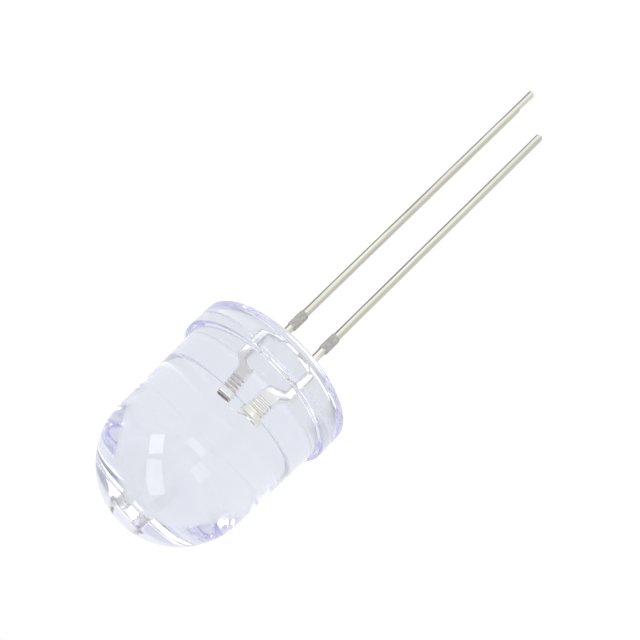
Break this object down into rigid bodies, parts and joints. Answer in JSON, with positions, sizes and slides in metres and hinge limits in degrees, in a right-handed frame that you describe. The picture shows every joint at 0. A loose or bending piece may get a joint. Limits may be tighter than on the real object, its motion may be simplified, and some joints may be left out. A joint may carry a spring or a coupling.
{
  "type": "blinking led",
  "caption": "Round clear domed LED with a flange behind it and straight leads, with a flasher chip beside the reflector cup.",
  "frame": {"origin": "centre of the flat face behind the flange, on the lens axis, between the leads", "axes": "+Z along the lens axis towards the dome, leads towards -Z, +X towards the long anode lead, -X towards the short cathode lead"},
  "size_m": [0.0112, 0.0112, 0.0414],
  "materials": {
    "clear_epoxy": "clear, polished by the mould",
    "tinned_steel": "tinned inside and outside the body",
    "die_crystal": "light-emitting crystal",
    "silicon": "silicon chip",
    "silver_epoxy": "silver-filled adhesive",
    "gold_wire": "drawn gold wire"
  },
  "bodies": {
    "root": {"lens_body": "clear_epoxy", "anode_lead": "tinned_steel", "cathode_lead": "tinned_steel", "led_die": "die_crystal", "led_die_adhesive": "silver_epoxy", "flasher_chip": "silicon", "flasher_chip_adhesive": "silver_epoxy", "output_bond_wire": "gold_wire", "ground_bond_wire": "gold_wire"}
  },
  "joints": []
}
